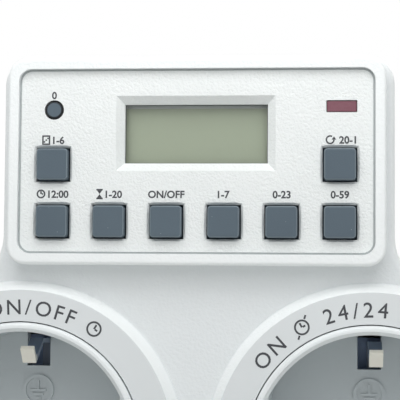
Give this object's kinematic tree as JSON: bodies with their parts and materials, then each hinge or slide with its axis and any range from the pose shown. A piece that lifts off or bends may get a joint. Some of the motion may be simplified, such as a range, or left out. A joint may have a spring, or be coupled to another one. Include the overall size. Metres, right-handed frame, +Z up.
{
  "type": "plug in timer switch",
  "caption": "Plug-in digital timer switch with a display, rubber keys and recessed earthed sockets.",
  "frame": {"origin": "centre of the plug's end face", "axes": "+Z up, +Y along the plug pins, keys and sockets face -Y"},
  "size_m": [0.1218, 0.0812, 0.099],
  "materials": {
    "housing": "fine satin texture, pale grey white",
    "panel": "fine sandblasted white",
    "cup": "moulded pale grey",
    "key_rubber": "matt slate grey",
    "mat_rubber": "matt silicone",
    "clear_window": "clear moulded lens",
    "display": "grey green liquid crystal",
    "lamp_red": "tinted red resin",
    "board": "green solder mask",
    "dark_plastic": "black moulding",
    "relay_blue": "blue moulding",
    "inner_plastic": "moulded or dipped",
    "shutter_plastic": "white moulding",
    "steel": "zinc plated",
    "earth_metal": "nickel plated brass",
    "live_metal": "bare brass",
    "pin_metal": "nickel plated brass"
  },
  "bodies": {
    "root": {"backup_cell": "steel", "board_link": "dark_plastic", "cell_tabs": "steel", "clock_crystal": "steel", "control_panel": "panel", "controller_chip": "dark_plastic", "diodes": "dark_plastic", "display_board": "board", "display_board_screws": "steel", "display_window": "clear_window", "driver_transistor": "dark_plastic", "earth_bar": "earth_metal", "earth_clips_left": "earth_metal", "earth_clips_right": "earth_metal", "electrolytic_capacitors": "inner_plastic", "film_capacitor": "inner_plastic", "front_housing": "housing", "housing_screws": "steel", "indicator_lamp": "lamp_red", "keypad_mat": "mat_rubber", "lcd_cell": "display", "lcd_holder": "inner_plastic", "live_bar": "live_metal", "neutral_bar": "live_metal", "pin_contact_left_1": "live_metal", "pin_contact_left_2": "live_metal", "pin_contact_right_1": "live_metal", "pin_contact_right_2": "live_metal", "plug_body": "housing", "plug_earth_contacts": "earth_metal", "plug_pin_live": "pin_metal", "plug_pin_neutral": "pin_metal", "power_board": "board", "power_board_screws": "steel", "rear_housing": "housing", "relay_base": "dark_plastic", "relay_coil": "dark_plastic", "relay_contacts": "live_metal", "relay_cover": "relay_blue", "relay_yoke": "steel", "resistors": "inner_plastic", "shutter_springs_left": "steel", "shutter_springs_right": "steel", "socket_cup_left": "cup", "socket_cup_right": "cup", "switched_bar": "live_metal", "varistor": "inner_plastic", "zebra_strips": "mat_rubber"},
    "key_clock": {"key_clock": "key_rubber"},
    "key_hour": {"key_hour": "key_rubber"},
    "key_master_reset": {"key_master_reset": "key_rubber"},
    "key_minute": {"key_minute": "key_rubber"},
    "key_mode": {"key_mode": "key_rubber"},
    "key_random": {"key_random": "key_rubber"},
    "key_recall": {"key_recall": "key_rubber"},
    "key_timer": {"key_timer": "key_rubber"},
    "key_week": {"key_week": "key_rubber"},
    "shutter_left": {"shutter_left": "shutter_plastic"},
    "shutter_right": {"shutter_right": "shutter_plastic"},
    "relay_armature": {"relay_armature": "steel"}
  },
  "joints": [
    {"name": "key_clock_press", "type": "slide", "parent": "root", "child": "key_clock", "axis": [0, 1, 0], "range_m": [0, 0.001], "stiffness_N_per_m": 1200},
    {"name": "key_hour_press", "type": "slide", "parent": "root", "child": "key_hour", "axis": [0, 1, 0], "range_m": [0, 0.001], "stiffness_N_per_m": 1200},
    {"name": "key_master_reset_press", "type": "slide", "parent": "root", "child": "key_master_reset", "axis": [0, 1, 0], "range_m": [0, 0.001], "stiffness_N_per_m": 1200},
    {"name": "key_minute_press", "type": "slide", "parent": "root", "child": "key_minute", "axis": [0, 1, 0], "range_m": [0, 0.001], "stiffness_N_per_m": 1200},
    {"name": "key_mode_press", "type": "slide", "parent": "root", "child": "key_mode", "axis": [0, 1, 0], "range_m": [0, 0.001], "stiffness_N_per_m": 1200},
    {"name": "key_random_press", "type": "slide", "parent": "root", "child": "key_random", "axis": [0, 1, 0], "range_m": [0, 0.001], "stiffness_N_per_m": 1200},
    {"name": "key_recall_press", "type": "slide", "parent": "root", "child": "key_recall", "axis": [0, 1, 0], "range_m": [0, 0.001], "stiffness_N_per_m": 1200},
    {"name": "key_timer_press", "type": "slide", "parent": "root", "child": "key_timer", "axis": [0, 1, 0], "range_m": [0, 0.001], "stiffness_N_per_m": 1200},
    {"name": "key_week_press", "type": "slide", "parent": "root", "child": "key_week", "axis": [0, 1, 0], "range_m": [0, 0.001], "stiffness_N_per_m": 1200},
    {"name": "shutter_left_turn", "type": "hinge", "parent": "root", "child": "shutter_left", "pos_m": [-0.03045, -0.0399, -0.014], "axis": [0, 1, 0], "range_deg": [0, 40], "stiffness_Nm_per_rad": 0.004},
    {"name": "shutter_right_turn", "type": "hinge", "parent": "root", "child": "shutter_right", "pos_m": [0.03045, -0.0399, -0.014], "axis": [0, 1, 0], "range_deg": [0, 40], "stiffness_Nm_per_rad": 0.004},
    {"name": "relay_armature_hinge", "type": "hinge", "parent": "root", "child": "relay_armature", "pos_m": [-0.0056, -0.03635, 0.0296], "axis": [0, 0, 1], "range_deg": [0, 6.5], "stiffness_Nm_per_rad": 0.02}
  ]
}
